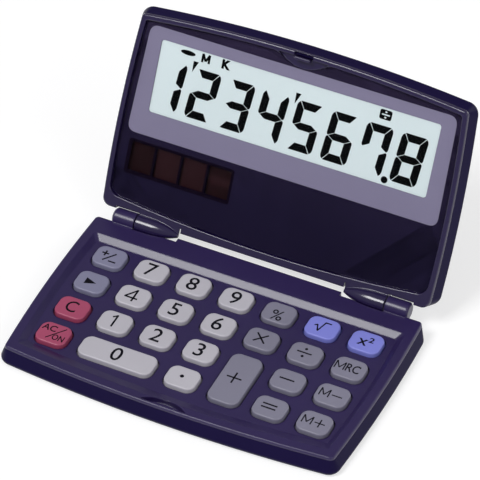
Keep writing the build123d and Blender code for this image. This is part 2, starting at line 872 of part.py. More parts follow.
def make_negative_contact():
    """The spring strip over the cell, soldered to the main board."""
    x, v = cell_place
    end = x - cell_radius - cell_pocket_gap - contact_width
    near, far = v - contact_width / 2, v + contact_width / 2
    strip = block(end, x, near, far, cell_top, cell_top + contact_thickness)
    fall = block(end, end + contact_thickness, near, far, main_board_top, cell_top)
    return strip + fall


def make_solar_leads():
    """Two short wires from the solar cells to the main board."""
    z = mask_bottom - running_clearance - solar_glass_thickness - solar_cell_thickness - lead_radius
    leads = []
    for v in (solar_near + solar_height * 0.3, solar_near + solar_height * 0.7):
        leads.append(rod(lead_radius, solar_right - solar_margin, main_board_left, v, z))
    return leads


def make_friction_sleeve():
    """The split sleeve in the right-hand tapered barrel that grips the pin and holds the lid."""
    inner = hinge_pin_radius + running_clearance
    start = inner_seam - hinge_pin_reach + sleeve_setback
    sleeve = rod(inner + sleeve_wall, start, inner_seam) - rod(inner, start, inner_seam)
    return sleeve - block(start, inner_seam, 0, inner + sleeve_wall, -sleeve_slit / 2, sleeve_slit / 2)


def make_lid_screws():
    return [make_screw(x, v, mask_bottom, lid_screw_length, True) for x, v in lid_screw_places]


def make_lid_ribbon():
    """The end of the ribbon cable that is soldered to the main board."""
    low, high = lid_ribbon_span()
    start = (ribbon_tube_radius**2 - (ribbon_tube_radius - ribbon_thickness) ** 2) ** 0.5 + running_clearance
    return ribbon_tail(start, main_board_near + wall, main_board_top, low, high)


def save(name, shape):
    """Writes one sub-part. A list becomes one group of separate solids."""
    if isinstance(shape, list):
        shape = Compound(children=[part for item in shape for part in item.solids()])
    export_step(shape, f"parts/{name}.step")


def main():
    os.makedirs("parts", exist_ok=True)
    base_parts = {
        "base_bottom_cover": make_base_cover(),
        "keypad_frame": make_base_frame(),
        "key_circuit_board": make_key_board(),
        "key_rubber_mat": make_key_mat(),
        "base_screws": make_base_screws(),
        "hinge_pin": make_hinge_pin(),
        "hinge_ribbon_cable": make_base_ribbon(),
    }
    for name, shape in base_parts.items():
        save(name, shape)
    for name, column, row, columns, rows in key_plan:
        save(f"key_{name}", make_key(column, row, columns, rows))
    lid_parts = {
        "lid_outer_cover": make_lid_cover(),
        "lid_frame": make_lid_frame(),
        "window_plate": make_window_plate(),
        "window_mask": make_window_mask(),
        "display_polariser": make_polariser(),
        "display_front_glass": make_front_glass(),
        "display_rear_glass": make_rear_glass(),
        "display_reflector": make_reflector(),
        "display_connector_strip": make_connector_strip(),
        "main_circuit_board": make_main_board(),
        "controller_chip": make_controller_chip(),
        "solar_glass": make_solar_glass(),
        "solar_cells": make_solar_cells(),
        "button_cell": make_button_cell(),
        "battery_positive_contact": make_positive_contact(),
        "battery_negative_contact": make_negative_contact(),
        "solar_leads": make_solar_leads(),
        "hinge_friction_sleeve": make_friction_sleeve(),
        "lid_screws": make_lid_screws(),
        "lid_ribbon_end": make_lid_ribbon(),
    }
    for name, shape in lid_parts.items():
        if isinstance(shape, list):
            save(name, [lid_pose * item for item in shape])
        else:
            save(name, lid_pose * shape)


main()
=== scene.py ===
import json
import math

import bpy
from mathutils import Matrix, Vector

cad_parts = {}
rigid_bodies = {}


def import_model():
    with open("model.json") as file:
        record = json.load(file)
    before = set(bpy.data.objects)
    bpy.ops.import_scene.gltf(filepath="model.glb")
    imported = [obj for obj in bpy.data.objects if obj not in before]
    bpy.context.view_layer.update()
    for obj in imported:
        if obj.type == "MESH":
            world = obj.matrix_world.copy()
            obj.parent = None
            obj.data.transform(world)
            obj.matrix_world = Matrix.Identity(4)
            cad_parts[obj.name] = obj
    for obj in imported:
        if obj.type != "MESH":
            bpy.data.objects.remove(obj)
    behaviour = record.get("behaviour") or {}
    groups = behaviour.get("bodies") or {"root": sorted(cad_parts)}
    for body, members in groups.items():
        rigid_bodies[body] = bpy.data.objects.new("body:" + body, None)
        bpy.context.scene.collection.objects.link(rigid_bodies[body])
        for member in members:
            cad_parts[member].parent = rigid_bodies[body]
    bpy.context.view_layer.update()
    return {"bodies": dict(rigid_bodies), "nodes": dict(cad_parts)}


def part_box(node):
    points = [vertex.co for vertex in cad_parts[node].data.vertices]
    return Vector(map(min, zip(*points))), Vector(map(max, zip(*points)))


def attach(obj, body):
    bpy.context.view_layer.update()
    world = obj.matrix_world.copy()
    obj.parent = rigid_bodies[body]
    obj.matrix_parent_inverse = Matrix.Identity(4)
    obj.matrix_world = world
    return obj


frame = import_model()
nodes = frame["nodes"]

# Keypad leaf's casing: a shallow tray and a framed top, moulded in indigo ABS and held by
# screws. The tools are spark-eroded, so the plastic is satin with a very fine grain, and
# its tone and gloss drift a little with the flow of the melt.


def paint(red, green, blue):
    """A colour given as it looks on screen, 0 to 255, as the shader wants it."""
    steps = [value / 255 for value in (red, green, blue)]
    light = [((v + 0.055) / 1.055) ** 2.4 if v > 0.04045 else v / 12.92 for v in steps]
    return (*light, 1.0)


def new_material(name):
    """An empty shader set-up with object coordinates: material, nodes, links, shader, place."""
    made = bpy.data.materials.new(name)
    made.use_nodes = True
    made_nodes = made.node_tree.nodes
    shader = made_nodes["Principled BSDF"]
    place = made_nodes.new("ShaderNodeTexCoord")
    return made, made_nodes, made.node_tree.links, shader, place


def moulded(name, colour, drift, gloss, gloss_drift, grain, depth, edge=0.0, shine=0.5):
    """Moulded plastic: two close tones, uneven gloss and the grain of the tool.

    Grain is the size of its bumps, depth their height and edge the radius of soft edges, in
    metres. Drift is how far the tone strays, and shine how strongly the surface mirrors.
    """
    made, its_nodes, links, shader, place = new_material(name)
    flow = its_nodes.new("ShaderNodeTexNoise")
    flow.inputs["Scale"].default_value = 45
    flow.inputs["Detail"].default_value = 3
    links.new(place.outputs["Object"], flow.inputs["Vector"])
    tones = its_nodes.new("ShaderNodeValToRGB")
    tones.color_ramp.elements[0].position = 0.32
    tones.color_ramp.elements[1].position = 0.68
    tones.color_ramp.elements[0].color = [c * (1 - drift) for c in colour[:3]] + [1]
    tones.color_ramp.elements[1].color = [c * (1 + drift) for c in colour[:3]] + [1]
    links.new(flow.outputs["Fac"], tones.inputs["Fac"])
    links.new(tones.outputs["Color"], shader.inputs["Base Color"])
    sheen = its_nodes.new("ShaderNodeMapRange")
    sheen.inputs["To Min"].default_value = gloss - gloss_drift
    sheen.inputs["To Max"].default_value = gloss + gloss_drift
    links.new(flow.outputs["Fac"], sheen.inputs["Value"])
    links.new(sheen.outputs["Result"], shader.inputs["Roughness"])
    spark = its_nodes.new("ShaderNodeTexNoise")
    spark.inputs["Scale"].default_value = 1 / grain
    spark.inputs["Detail"].default_value = 2
    links.new(place.outputs["Object"], spark.inputs["Vector"])
    relief = its_nodes.new("ShaderNodeBump")
    relief.inputs["Distance"].default_value = depth
    relief.inputs["Strength"].default_value = 0.6
    links.new(spark.outputs["Fac"], relief.inputs["Height"])
    links.new(relief.outputs["Normal"], shader.inputs["Normal"])
    shader.inputs["Specular IOR Level"].default_value = shine
    if edge:
        soft_edge = its_nodes.new("ShaderNodeBevel")
        soft_edge.samples = 8
        soft_edge.inputs["Radius"].default_value = edge
        links.new(soft_edge.outputs["Normal"], relief.inputs["Normal"])
    return made


def dress(node, material):
    """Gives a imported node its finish, in every slot that it has."""
    slots = nodes[node].material_slots
    if len(slots) == 0:
        nodes[node].data.materials.append(material)
    for slot in slots:
        slot.material = material


indigo = paint(41, 29, 76)
# The tray and the back of the display leaf get a darker copy of this indigo: painted shade that keeps their
# side walls dark.
indigo_painted_shade = paint(22, 14, 55)
frame_plastic = moulded(
    "indigo_frame", indigo, drift=0.05, gloss=0.29, gloss_drift=0.03,
    grain=0.00016, depth=0.000004, edge=0.0005,
)
shell_plastic = moulded(
    "indigo_shell_painted_shade", indigo_painted_shade, drift=0.05, gloss=0.36, gloss_drift=0.04,
    grain=0.00018, depth=0.000005, edge=0.00025, shine=0.06,
)
dress("keypad_frame", frame_plastic)
dress("base_bottom_cover", shell_plastic)

# Keypad's rubber mat and the circuit boards: silicone domes over printed pads. The mat is
# what shows as a dark line around each key, and the boards are green with solder mask.
dark_silicone = paint(20, 17, 30)
rubber = moulded(
    "dark_silicone", dark_silicone, drift=0.08, gloss=0.7, gloss_drift=0.05,
    grain=0.0002, depth=0.000006,
)
dress("key_rubber_mat", rubber)
mask_green = paint(28, 84, 52)
board_green = moulded(
    "solder_mask", mask_green, drift=0.12, gloss=0.35, gloss_drift=0.05,
    grain=0.0004, depth=0.000008,
)
dress("key_circuit_board", board_green)
dress("main_circuit_board", board_green)

# Screws, hinge pin, sleeve and button cell: plated steel, turned or pressed, with fine
# uneven marks of the tool. The cell's contacts are sprung strips with a flash of gold.


def plated(name, colour, rough, mark):
    """Plated metal. Its tone and gloss vary in fine marks, of a size given in metres."""
    made, its_nodes, links, shader, place = new_material(name)
    shader.inputs["Metallic"].default_value = 1
    marks = its_nodes.new("ShaderNodeTexNoise")
    marks.inputs["Scale"].default_value = 1 / mark
    marks.inputs["Detail"].default_value = 4
    links.new(place.outputs["Object"], marks.inputs["Vector"])
    tones = its_nodes.new("ShaderNodeValToRGB")
    tones.color_ramp.elements[0].position = 0.3
    tones.color_ramp.elements[1].position = 0.7
    tones.color_ramp.elements[0].color = [c * 0.82 for c in colour[:3]] + [1]
    tones.color_ramp.elements[1].color = colour
    links.new(marks.outputs["Fac"], tones.inputs["Fac"])
    links.new(tones.outputs["Color"], shader.inputs["Base Color"])
    sheen = its_nodes.new("ShaderNodeMapRange")
    sheen.inputs["To Min"].default_value = rough - 0.06
    sheen.inputs["To Max"].default_value = rough + 0.06
    links.new(marks.outputs["Fac"], sheen.inputs["Value"])
    links.new(sheen.outputs["Result"], shader.inputs["Roughness"])
    return made


steel = plated("plated_steel", paint(186, 186, 192), rough=0.32, mark=0.0006)
gold_flash = plated("gold_flash", paint(214, 176, 96), rough=0.3, mark=0.0008)
for node in ("base_screws", "hinge_pin", "lid_screws", "hinge_friction_sleeve", "button_cell"):
    dress(node, steel)
for node in ("battery_positive_contact", "battery_negative_contact"):
    dress(node, gold_flash)

# What carries the current: a ribbon cable of amber polyimide film through the hinge, two
# insulated leads from the cells, the resin-covered controller and the striped rubber that
# joins the display's glass to the main board.
amber = paint(176, 104, 34)
ribbon_film = moulded(
    "ribbon_film", amber, drift=0.15, gloss=0.3, gloss_drift=0.05,
    grain=0.0008, depth=0.000004,
)
dress("hinge_ribbon_cable", ribbon_film)
dress("lid_ribbon_end", ribbon_film)
red = paint(150, 24, 28)
lead_skin = moulded(
    "lead_insulation", red, drift=0.08, gloss=0.4, gloss_drift=0.04,
    grain=0.0004, depth=0.000004,
)
dress("solar_leads", lead_skin)
black = paint(22, 22, 24)
chip_resin = moulded(
    "chip_resin", black, drift=0.1, gloss=0.45, gloss_drift=0.05,
    grain=0.0003, depth=0.000006,
)
dress("controller_chip", chip_resin)
grey = paint(58, 58, 62)
striped = moulded(
    "striped_rubber", grey, drift=0.2, gloss=0.7, gloss_drift=0.04,
    grain=0.0002, depth=0.000004,
)
dress("display_connector_strip", striped)

# Keys: 26 hard caps moulded in five colours, each on its own dome, held in by a flange
# under the key panel. The tops are satin, and their edges are rounded in the tool.


def key_plastic(name, colour, drift):
    """Satin key plastic, with the same gloss and grain in every colour."""
    return moulded(name, colour, drift, gloss=0.4, gloss_drift=0.04, grain=0.00014, depth=0.000003)


digit_grey = key_plastic("digit_key_grey", paint(186, 183, 192), 0.025)
function_grey = key_plastic("function_key_grey", paint(126, 124, 142), 0.03)
edit_blue = key_plastic("edit_key_blue", paint(128, 127, 153), 0.03)
rose = key_plastic("clear_key_rose", paint(166, 71, 103), 0.04)
violet = key_plastic("root_key_violet", paint(128, 132, 216), 0.03)
key_colours = {
    "sign_change": edit_blue,
    "backspace": edit_blue,
    "clear": rose,
    "all_clear_on": rose,
    "square_root": violet,
    "square": violet,
}
for node in nodes:
    key = node.removeprefix("key_")
    if key != node and "key " + key in frame["bodies"]:
        plain = digit_grey if key.isdigit() or key == "decimal_point" else function_grey
        dress(node, key_colours.get(key, plain))

# Key legends: pad-printed in dark ink on each cap, a hundredth of a millimetre thick.
# Each is a piece of its own, because each key travels by itself.
ink_depth = 0.00001
ink_black = paint(14, 12, 22)
legend_ink = moulded(
    "legend_ink", ink_black, drift=0.1, gloss=0.6, gloss_drift=0.04,
    grain=0.0002, depth=0.000001, shine=0.1,
)
legend_left = 0.00034
legend_up = 0.00016
ink_lift = ink_depth * 0.4
capital_share = 0.691
drawn_larger = 1000


def only(piece):
    """Makes this object the one that is selected and active."""
    bpy.ops.object.select_all(action="DESELECT")
    piece.select_set(True)
    bpy.context.view_layer.objects.active = piece


def settle(piece, name, body, material):
    """Puts a finished piece's place into its mesh, and gives it its name, finish and body."""
    only(piece)
    bpy.ops.object.transform_apply(location=True, rotation=True, scale=True)
    piece.name = name
    piece.data.name = name
    piece.data.materials.clear()
    piece.data.materials.append(material)
    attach(piece, body)
    return piece


def shrunk(piece, wide, tall):
    """A flat piece drawn large, because small curves don't fill well, brought to its size."""
    only(piece)
    bpy.ops.object.convert(target="MESH")
    printed = bpy.context.object
    printed.scale = (wide, tall, 1)
    bpy.ops.object.transform_apply(location=False, rotation=False, scale=True)
    return printed


def lettering(text, height, weight, narrow=1.0):
    """Printed characters as a thin mesh: the height of their capitals, how far their lines
    are thickened, in parts of the letter size, and how much narrower they are made."""
    bpy.ops.object.text_add()
    words = bpy.context.object
    words.data.body = text
    words.data.offset = weight
    words.data.extrude = ink_depth / 2
    words.data.resolution_u = 4
    size = height / capital_share
    return shrunk(words, size * narrow, size)


def flat_print(outlines, depth):
    """Flat closed outlines as a thin mesh. An outline inside another one cuts a hole."""
    line = bpy.data.curves.new("outlines", "CURVE")
    line.dimensions = "2D"
    line.fill_mode = "BOTH"
    line.extrude = depth / 2
    for points in outlines:
        spline = line.splines.new("POLY")
        spline.points.add(len(points) - 1)
        for point, (x, y) in zip(spline.points, points):
            point.co = (x * drawn_larger, y * drawn_larger, 0, 1)
        spline.use_cyclic_u = True
    made = bpy.data.objects.new("outlines", line)
    bpy.context.scene.collection.objects.link(made)
    return shrunk(made, 1 / drawn_larger, 1 / drawn_larger)


def stroke_print(strokes, width):
    """Printed lines as a thin mesh: each stroke is a list of points, given a width."""
    outlines = []
    for points in strokes:
        sides = []
        for side in (1, -1):
            run = points if side == 1 else points[::-1]
            for number, (x, y) in enumerate(run):
                before = run[max(number - 1, 0)]
                after = run[min(number + 1, len(run) - 1)]
                along = Vector((after[0] - before[0], after[1] - before[1])).normalized()
                sides.append((x - along.y * width / 2, y + along.x * width / 2))
        outlines.append(sides)
    return joined([flat_print([outline], ink_depth) for outline in outlines])


def joined(prints):
    """One print made of several."""
    bpy.ops.object.select_all(action="DESELECT")
    for piece in prints:
        piece.select_set(True)
    bpy.context.view_layer.objects.active = prints[0]
    if len(prints) > 1:
        bpy.ops.object.join()
    return prints[0]


def letter_m(left, width, height):
    """The strokes of a capital M that stands on the line and begins at left."""
    right = left + width
    low_share = 0.18
    low_point = (left + width / 2, height * low_share)
    return [
        [(left, 0), (left, height)],
        [(left, height), low_point],
        [low_point, (right, height)],
        [(right, height), (right, 0)],
    ]


def moved(piece, across, along):
    """Centres a flat print on its own middle, and moves it from there."""
    only(piece)
    bpy.ops.object.origin_set(type="ORIGIN_GEOMETRY", center="BOUNDS")
    piece.location = (across, along, 0)
    bpy.ops.object.transform_apply(location=True, rotation=False, scale=True)
    return piece


def on_key(piece, key):
    """Sets a legend on its cap, a little up and left of the middle, to ride on the key."""
    low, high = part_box("key_" + key)
    middle = (low + high) / 2
    piece.location = (middle.x - legend_left, middle.y + legend_up, high.z + ink_lift)
    settle(piece, "legend_" + key, "key " + key, legend_ink)


# Figures: eight of them are letters. The 1 and the 4 are drawn by their strokes, because
# the letter 4 doesn't fill well when it is thickened, and the point is a round dot.
figure_height = 0.0043
figure_top = figure_height / 2
figure_weight = 0.0005
for number in "02356789":
    on_key(moved(lettering(number, figure_height, weight=0.006), 0, 0), number)
one_stem = 0.00015
one_strokes = [
    [(-0.0009, 0.0011), (one_stem, 0.0019)],
    [(one_stem, figure_top), (one_stem, -figure_top)],
]
on_key(stroke_print(one_strokes, figure_weight), "1")
four_stem = 0.0006
four_bar = -0.00095
four_strokes = [
    [(four_stem, figure_top), (four_stem, -figure_top)],
    [(four_stem, 0.00198), (-0.00165, four_bar)],
    [(-0.0018, four_bar), (0.0017, four_bar)],
]
on_key(stroke_print(four_strokes, figure_weight), "4")
bpy.ops.mesh.primitive_cylinder_add(vertices=24, radius=0.00052, depth=ink_depth)
on_key(moved(bpy.context.object, 0.0001, 0.0001), "decimal_point")

# Signs: thin straight lines across the middle of the cap, with two dots on the divide
# sign. The percent sign is a letter.
sign_weight = 0.00044
sign_half = 0.00195
plus_half_tall = 0.0019
cross_half = 0.0015
equals_half = 0.0019
equals_rise = 0.0006
sign_lines = {
    "multiply": [
        [(-cross_half, -cross_half), (cross_half, cross_half)],
        [(-cross_half, cross_half), (cross_half, -cross_half)],
    ],
    "plus": [[(-sign_half, 0), (sign_half, 0)], [(0, -plus_half_tall), (0, plus_half_tall)]],
    "minus": [[(-sign_half, 0), (sign_half, 0)]],
    "equals": [
        [(-equals_half, equals_rise), (equals_half, equals_rise)],
        [(-equals_half, -equals_rise), (equals_half, -equals_rise)],
    ],
    "sign_change": [
        [(-0.0022, 0.0006), (-0.0003, 0.0006)],
        [(-0.00125, -0.00035), (-0.00125, 0.00155)],
        [(0.0015, 0.0013), (-0.0010, -0.0019)],
        [(0.00055, -0.0017), (0.0026, -0.0017)],
    ],
}
for key, strokes in sign_lines.items():
    on_key(stroke_print(strokes, sign_weight), key)
divide_dots = []
for along in (-0.0013, 0.0013):
    bpy.ops.mesh.primitive_cylinder_add(vertices=20, radius=0.00038, depth=ink_depth, location=(0, along, 0))
    divide_dots.append(bpy.context.object)
divide_weight = 0.00042
divide_bar = stroke_print([[(-sign_half, 0), (sign_half, 0)]], divide_weight)
on_key(joined([divide_bar, *divide_dots]), "divide")
on_key(moved(lettering("%", 0.0034, weight=0.005, narrow=0.95), 0.0002, -0.0011), "percent")

# Root, square, memory, clearing and backspace keys: small letters, and strokes that are
# finer than those of the figures. The letter M fills badly too, and so it has strokes.
root_weight = 0.00038
root_strokes = [
    [(-0.0018, -0.0002), (-0.0011, 0.0003)],
    [(-0.0012, 0.0004), (-0.0004, -0.0017)],
    [(-0.0004, -0.0018), (0.0006, 0.0017)],
    [(0.0005, 0.0016), (0.0021, 0.0016)],
]
on_key(stroke_print(root_strokes, root_weight), "square_root")
on_key(moved(lettering("x²", 0.0032, weight=0.01), 0.0002, 0), "square")
m_wide = 0.0023
m_tall = 0.0026
m_weight = 0.00032
minus_stroke = [(0.0030, 0.0012), (0.0057, 0.0012)]
upright_stroke = [(0.00435, -0.00015), (0.00435, 0.00255)]
recall_letters = [
    moved(stroke_print(letter_m(0, m_wide, m_tall), m_weight), -0.0021, 0),
    moved(lettering("RC", m_tall, weight=0.012, narrow=0.78), 0.00125, 0),
]
on_key(joined(recall_letters), "memory_recall")
memory_minus = stroke_print([*letter_m(0, m_wide, m_tall), minus_stroke], m_weight)
on_key(moved(memory_minus, 0, 0), "memory_minus")
memory_plus = stroke_print([*letter_m(0, m_wide, m_tall), minus_stroke, upright_stroke], m_weight)
on_key(moved(memory_plus, 0, 0), "memory_plus")
on_key(moved(lettering("C", 0.0037, weight=0.006, narrow=0.88), 0, 0), "clear")
slash_weight = 0.0003
all_clear_words = [
    moved(lettering("AC", 0.0019, weight=0.016), -0.0014, 0.0012),
    moved(lettering("ON", 0.0018, weight=0.016, narrow=0.8), 0.0021, -0.0013),
    stroke_print([[(0.0028, 0.0023), (-0.0009, -0.0023)]], slash_weight),
]
on_key(joined(all_clear_words), "all_clear_on")
arrow_outline = [(-0.0013, 0.0008), (0.0017, -0.0003), (-0.0013, -0.0014)]
on_key(flat_print([arrow_outline], ink_depth), "backspace")

# Display leaf's casing: an inner frame with the raised rim and the tapered barrels, from a
# darker and more polished mould than the keypad frame, and an outer shell that is its
# back, in the tray's plastic with its painted shade. Four screws under the window plate hold them.
lid_indigo = paint(31, 20, 63)
lid_plastic = moulded(
    "indigo_lid", lid_indigo, drift=0.05, gloss=0.2, gloss_drift=0.03,
    grain=0.00016, depth=0.000004, edge=0.0004, shine=0.7,
)
dress("lid_frame", lid_plastic)
dress("lid_outer_cover", shell_plastic)

# Window plate: 0.7 mm of clear acrylic, glued in the frame. The dark print behind it has
# two clear openings, over the display and over the solar panel. It is made paler towards
# the top of the leaf: a painted reflection of the light on the plate.


def clear_sheet(name, tint, rough):
    """Clear sheet that lets light straight through and mirrors more at a low angle.

    Rough is the least roughness of its mirror image, which faint wipe marks raise in places.
    """
    made, its_nodes, links, shader, place = new_material(name)
    its_nodes.remove(shader)
    output = its_nodes["Material Output"]
    through = its_nodes.new("ShaderNodeBsdfTransparent")
    through.inputs["Color"].default_value = tint
    mirror = its_nodes.new("ShaderNodeBsdfGlossy")
    wipe = its_nodes.new("ShaderNodeTexNoise")
    wipe.inputs["Scale"].default_value = 160
    wipe.inputs["Detail"].default_value = 5
    links.new(place.outputs["Object"], wipe.inputs["Vector"])
    haze = its_nodes.new("ShaderNodeMapRange")
    haze.inputs["To Min"].default_value = rough
    haze.inputs["To Max"].default_value = rough * 2.5
    links.new(wipe.outputs["Fac"], haze.inputs["Value"])
    links.new(haze.outputs["Result"], mirror.inputs["Roughness"])
    facing = its_nodes.new("ShaderNodeLayerWeight")
    facing.inputs["Blend"].default_value = 0.5
    edge_on = its_nodes.new("ShaderNodeMath")
    edge_on.operation = "POWER"
    edge_on.inputs[1].default_value = 5
    links.new(facing.outputs["Facing"], edge_on.inputs[0])
    share = its_nodes.new("ShaderNodeMapRange")
    share.inputs["To Min"].default_value = 0.003
    share.inputs["To Max"].default_value = 0.9
    links.new(edge_on.outputs[0], share.inputs["Value"])
    mixed = its_nodes.new("ShaderNodeMixShader")
    links.new(share.outputs["Result"], mixed.inputs["Fac"])
    links.new(through.outputs[0], mixed.inputs[1])
    links.new(mirror.outputs[0], mixed.inputs[2])
    links.new(mixed.outputs[0], output.inputs["Surface"])
    return made


acrylic_tint = (0.97, 0.97, 0.985, 1)
dress("window_plate", clear_sheet("window_acrylic", acrylic_tint, rough=0.03))
back_dark = paint(31, 26, 49)
painted_reflection_pale = paint(46, 39, 62)
back_print = moulded(
    "window_back_print_painted_reflection", back_dark, drift=0.015, gloss=0.5, gloss_drift=0.02,
    grain=0.0003, depth=0.0000005, shine=0,
)
print_nodes = back_print.node_tree.nodes
print_links = back_print.node_tree.links
# Painted reflection: the print is mixed towards a paler tone higher up the lid.
height_on_lid = print_nodes.new("ShaderNodeSeparateXYZ")
painted_reflection_ramp = print_nodes.new("ShaderNodeMapRange")
painted_reflection_ramp.inputs["From Min"].default_value = 0.016
painted_reflection_ramp.inputs["From Max"].default_value = 0.052
tint = print_nodes.new("ShaderNodeMix")
tint.data_type = "RGBA"
tint.inputs["B"].default_value = painted_reflection_pale
print_links.new(print_nodes["Texture Coordinate"].outputs["Object"], height_on_lid.inputs[0])
print_links.new(height_on_lid.outputs["Z"], painted_reflection_ramp.inputs["Value"])
print_links.new(painted_reflection_ramp.outputs["Result"], tint.inputs["Factor"])
print_links.new(print_nodes["Color Ramp"].outputs["Color"], tint.inputs["A"])
print_links.new(tint.outputs["Result"], print_nodes["Principled BSDF"].inputs["Base Color"])
dress("window_mask", back_print)

# Border print: the light second colour on the back of the plate, a rounded frame around
# the display. Pieces of this leaf are drawn flat from the hinge line and then turned up.
lean = math.radians(63)
hinge_line = Vector((0, 0.028575, 0.0055))
to_lid = Matrix.Translation(hinge_line) @ Matrix.Rotation(lean, 4, "X")


def rounded(corners, radius, steps=6):
    """A closed outline through these corners, each rounded off by a radius."""
    outline = []
    for number, corner in enumerate(corners):
        here = Vector(corner)
        back = (Vector(corners[number - 1]) - here).normalized() * radius
        ahead = (Vector(corners[(number + 1) % len(corners)]) - here).normalized() * radius
        for step in range(steps + 1):
            t = step / steps
            point = here + back * (1 - t) ** 2 + ahead * t**2
            outline.append((point.x, point.y))
    return outline


def on_lid(piece, height):
    """Lifts a piece drawn flat, in distances from the hinge line, to its height on the lid."""
    piece.location = to_lid @ Vector((0, 0, height))
    piece.rotation_euler = (lean, 0, 0)


def rectangle(left, right, low, high):
    """The outline of a rectangle."""
    return [(left, low), (right, low), (right, high), (left, high)]


plate_back = -0.00127
plate_print_depth = 0.00003
border_low = 0.02245
border_high = 0.05087
border_outside = [
    (-0.04265, border_low),
    (0.0423, border_low),
    (0.04155, border_high),
    (-0.04155, border_high),
]
opening_half = 0.0379
border_inside = rectangle(-opening_half, opening_half, 0.02875, 0.04785)
border = flat_print([rounded(border_outside, 0.0024), rounded(border_inside, 0.0008)], plate_print_depth)
on_lid(border, plate_back)
border_grey = paint(131, 126, 150)
border_print = moulded(
    "border_print", border_grey, drift=0.02, gloss=0.5, gloss_drift=0.04,
    grain=0.0003, depth=0.000001, shine=0,
)
settle(border, "display_border_print", "display leaf", border_print)

# Display: two glass sheets with the liquid crystal between them, a reflector behind and a
# satin polarising film on the front, which is the pale green-grey ground that is seen.
film_green = paint(224, 238, 235)
film = moulded(
    "polarising_film", film_green, drift=0.012, gloss=0.5, gloss_drift=0.05,
    grain=0.0004, depth=0.000001, shine=0.1,
)
dress("display_polariser", film)
glass_green = paint(150, 172, 164)
glass = moulded(
    "edge_of_glass", glass_green, drift=0.06, gloss=0.2, gloss_drift=0.03,
    grain=0.0006, depth=0.000001,
)
dress("display_front_glass", glass)
dress("display_rear_glass", glass)
dress("display_reflector", plated("reflector_foil", paint(206, 212, 208), rough=0.4, mark=0.0005))

# Digits: eight places of seven segments each, leaning a little, with hairline splits
# between the segments. The liquid crystal that is switched on is a thin dark layer, which
# also makes two thousands marks, the point and a small minus sign.
digit_width = 0.0071
digit_tall = 0.0129
bar = 0.0020
half = digit_tall / 2
split = 0.00007
upper_left = [
    (0.00062, digit_tall - 0.00018),
    (0.00020, digit_tall - 0.00062),
    (0.0, digit_tall - 0.00125),
    (0.0, half + 0.00070),
    (0.00012, half + 0.00030),
    (0.00042, half + split),
    (bar, half + bar / 2 + 0.00004),
    (bar, digit_tall - bar - 0.00010),
]
top = [
    (0.00078, digit_tall - 0.00008),
    (0.00105, digit_tall),
    (digit_width - 0.00105, digit_tall),
    (digit_width - 0.00078, digit_tall - 0.00008),
    (digit_width - bar - 0.00008, digit_tall - bar),
    (bar + 0.00008, digit_tall - bar),
]
middle = [
    (0.00056, half),
    (bar + 0.00004, half + bar / 2 - split),
    (digit_width - bar - 0.00004, half + bar / 2 - split),
    (digit_width - 0.00056, half),
    (digit_width - bar - 0.00004, half - bar / 2 + split),
    (bar + 0.00004, half - bar / 2 + split),
]


def other_side(outline):
    """The outline of the segment on the other side of the digit."""
    return [(digit_width - x, y) for x, y in outline]


def other_half(outline):
    """The outline of the segment in the other half of the digit."""
    return [(x, digit_tall - y) for x, y in outline]


def oval(middle, wide, tall, points=20):
    """The outline of an oval around its middle, by its half width and half height."""
    x, y = middle
    turns = [math.tau * step / points for step in range(points)]
    return [(x + wide * math.cos(turn), y + tall * math.sin(turn)) for turn in turns]


segments = {
    "a": top,
    "b": other_side(upper_left),
    "c": other_half(other_side(upper_left)),
    "d": other_half(top),
    "e": other_half(upper_left),
    "f": upper_left,
    "g": middle,
}
lit = ("bc", "abdeg", "abcdg", "bcfg", "acdfg", "acdefg", "abcf", "abcdefg")
digit_slant = 0.085
digit_pitch = 0.00935
digit_foot = 0.03035
first_digit = -0.0379
crystal_outlines = []
for place_number, names in enumerate(lit):
    left = first_digit + digit_pitch * place_number
    for name in names:
        crystal_outlines.append([(left + x + y * digit_slant, digit_foot + y) for x, y in segments[name]])
tick_top = 0.0448
tick_tip = 0.0419
for left in (-0.0286, -0.0004):
    crystal_outlines.append([(left, tick_top), (left + 0.0014, tick_top), (left + 0.0001, tick_tip)])
point_radius = 0.0009
crystal_outlines.append(oval((0.0265, 0.0301), point_radius, point_radius))
crystal_outlines.append(oval((-0.03045, 0.04638), wide=0.00205, tall=0.00062))
crystal_depth = 0.00002
film_face = -0.00143
digits = flat_print(crystal_outlines, crystal_depth)
on_lid(digits, film_face)
crystal_black = paint(9, 11, 12)
crystal = moulded(
    "dark_crystal", crystal_black, drift=0.1, gloss=0.4, gloss_drift=0.03,
    grain=0.0005, depth=0.000001, shine=0,
)
settle(digits, "display_digits", "display leaf", crystal)

# Display's small signs: memory, constant and a box with the sign of the running operation,
# in a row above the digits, made by the same layer.
sign_row = 0.0463
letter_prints = {
    "M": (stroke_print(letter_m(0, 0.0018, 0.0022), 0.0006), -0.0255),
    "K": (lettering("K", 0.0021, weight=0.06), -0.0199),
}
for sign, (letter, middle_x) in letter_prints.items():
    letter = moved(letter, middle_x, sign_row)
    on_lid(letter, film_face)
    settle(letter, "display_sign_" + sign, "display leaf", crystal)
box_middle = 0.0234
box_outlines = [
    rounded(rectangle(0.0218, 0.0250, 0.0448, 0.0473), 0.0006),
    rectangle(0.02235, 0.02445, 0.04588, 0.04622),
    oval((box_middle, 0.04675), wide=0.0003, tall=0.00022),
    oval((box_middle, 0.04535), wide=0.0003, tall=0.00022),
]
divide_box = flat_print(box_outlines, crystal_depth)
on_lid(divide_box, film_face)
settle(divide_box, "display_sign_divide", "display leaf", crystal)
